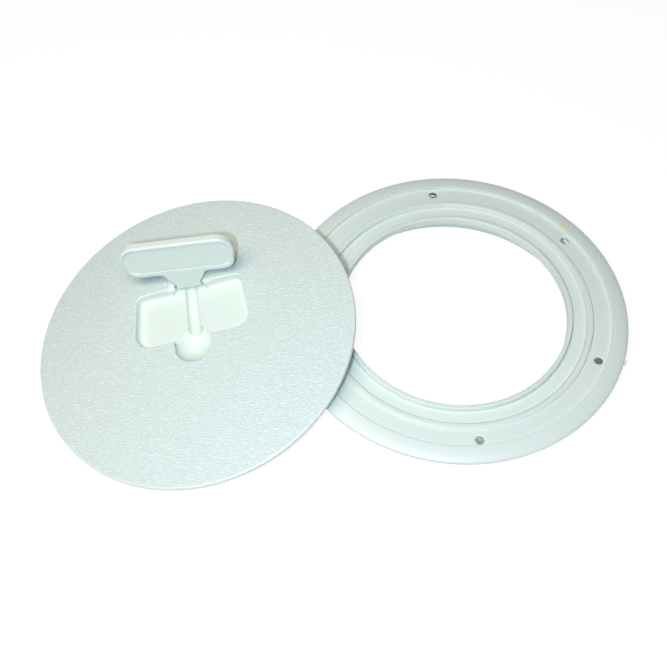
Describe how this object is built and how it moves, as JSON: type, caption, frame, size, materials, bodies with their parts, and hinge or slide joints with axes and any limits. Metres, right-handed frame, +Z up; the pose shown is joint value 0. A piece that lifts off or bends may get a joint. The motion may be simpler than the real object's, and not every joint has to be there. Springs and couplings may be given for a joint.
{
  "type": "deck inspection plate",
  "caption": "Round white inspection plate for a boat deck: collared mounting ring, lid lying beside it and leaning on its rim, fold-flat T-handle standing open.",
  "frame": {"origin": "on the ring's axis, at the underside of the rim that lies on the deck", "axes": "+Z up along the ring's axis, out of the deck; +X to the right of the picture, -X towards the lid lying beside the ring"},
  "size_m": [0.3583, 0.223, 0.0646],
  "materials": {
    "white_plastic": "moulded, satin to glossy",
    "white_grained_plastic": "moulded, fine leather grain on top",
    "stainless": "ground",
    "seal_rubber": "matte black"
  },
  "bodies": {
    "plate": {"deck_ring": "white_plastic", "lid": "white_grained_plastic", "hinge_pin": "stainless", "lid_seal": "seal_rubber"},
    "handle": {"handle": "white_plastic"}
  },
  "joints": [
    {"name": "handle_fold", "type": "hinge", "parent": "plate", "child": "handle", "pos_m": [-0.16392, 0.01825, 0.00295], "axis": [0.9785, 0.0634, 0.1964], "range_deg": [0, 95]}
  ]
}
